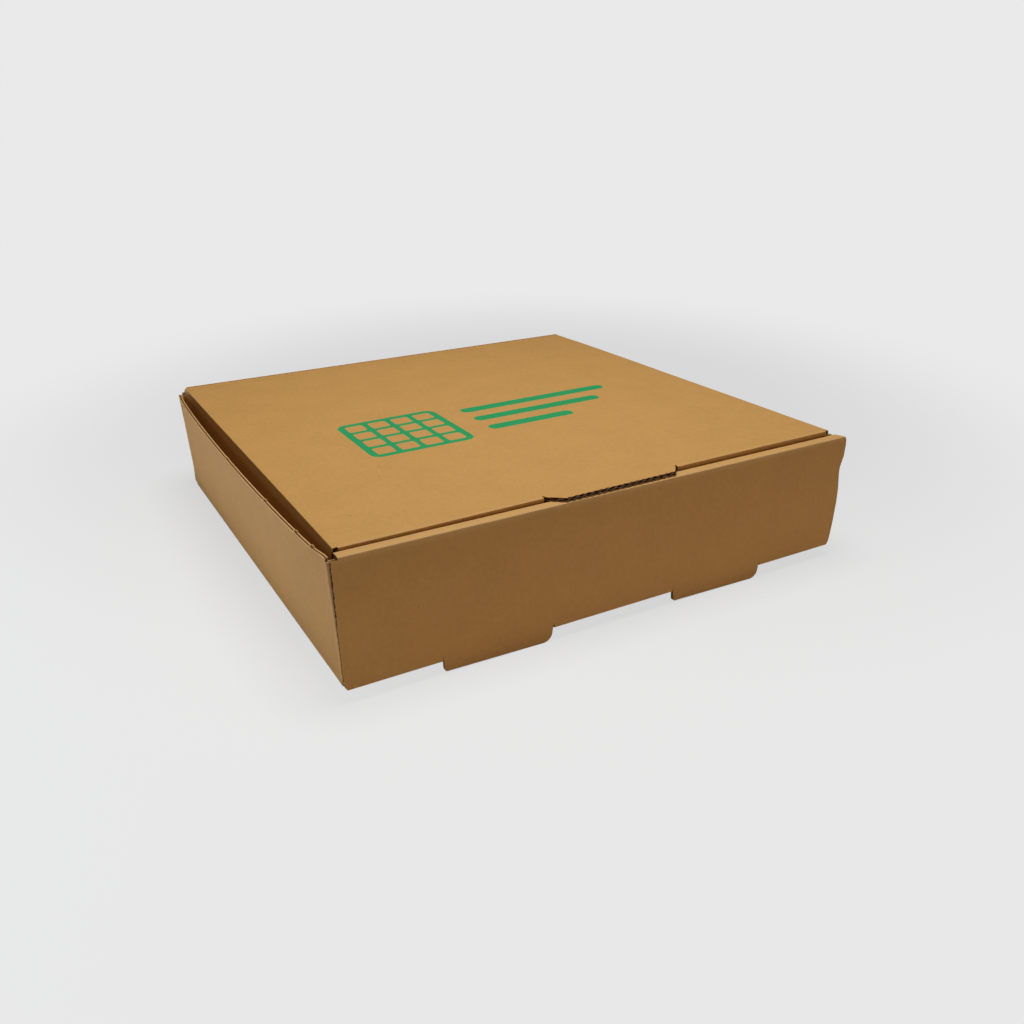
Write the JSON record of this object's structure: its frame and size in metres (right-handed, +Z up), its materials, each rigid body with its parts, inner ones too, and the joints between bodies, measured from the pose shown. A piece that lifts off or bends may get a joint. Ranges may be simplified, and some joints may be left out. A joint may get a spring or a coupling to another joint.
{
  "type": "waffle box",
  "caption": "Shallow square takeaway box folded from kraft corrugated board, with a rolled front wall, locking tongues and a hinged tuck-in lid with a finger tab.",
  "frame": {"origin": "middle of the underside of the base, level with the crease lines; the front wall's two tongues hang 5.2 mm below it", "axes": "+Z up through the lid, -Y out of the rolled front wall, +X to the right as seen from the front"},
  "size_m": [0.2396, 0.229, 0.0579],
  "materials": {
    "kraft_board": "matt brown kraft liner on corrugated board"
  },
  "bodies": {
    "tray": {"tray": "kraft_board"},
    "lid": {"lid": "kraft_board"}
  },
  "joints": [
    {"name": "lid_hinge", "type": "hinge", "parent": "tray", "child": "lid", "pos_m": [0, 0.11375, 0.05195], "axis": [-1, 0, 0], "range_deg": [0, 180]}
  ]
}
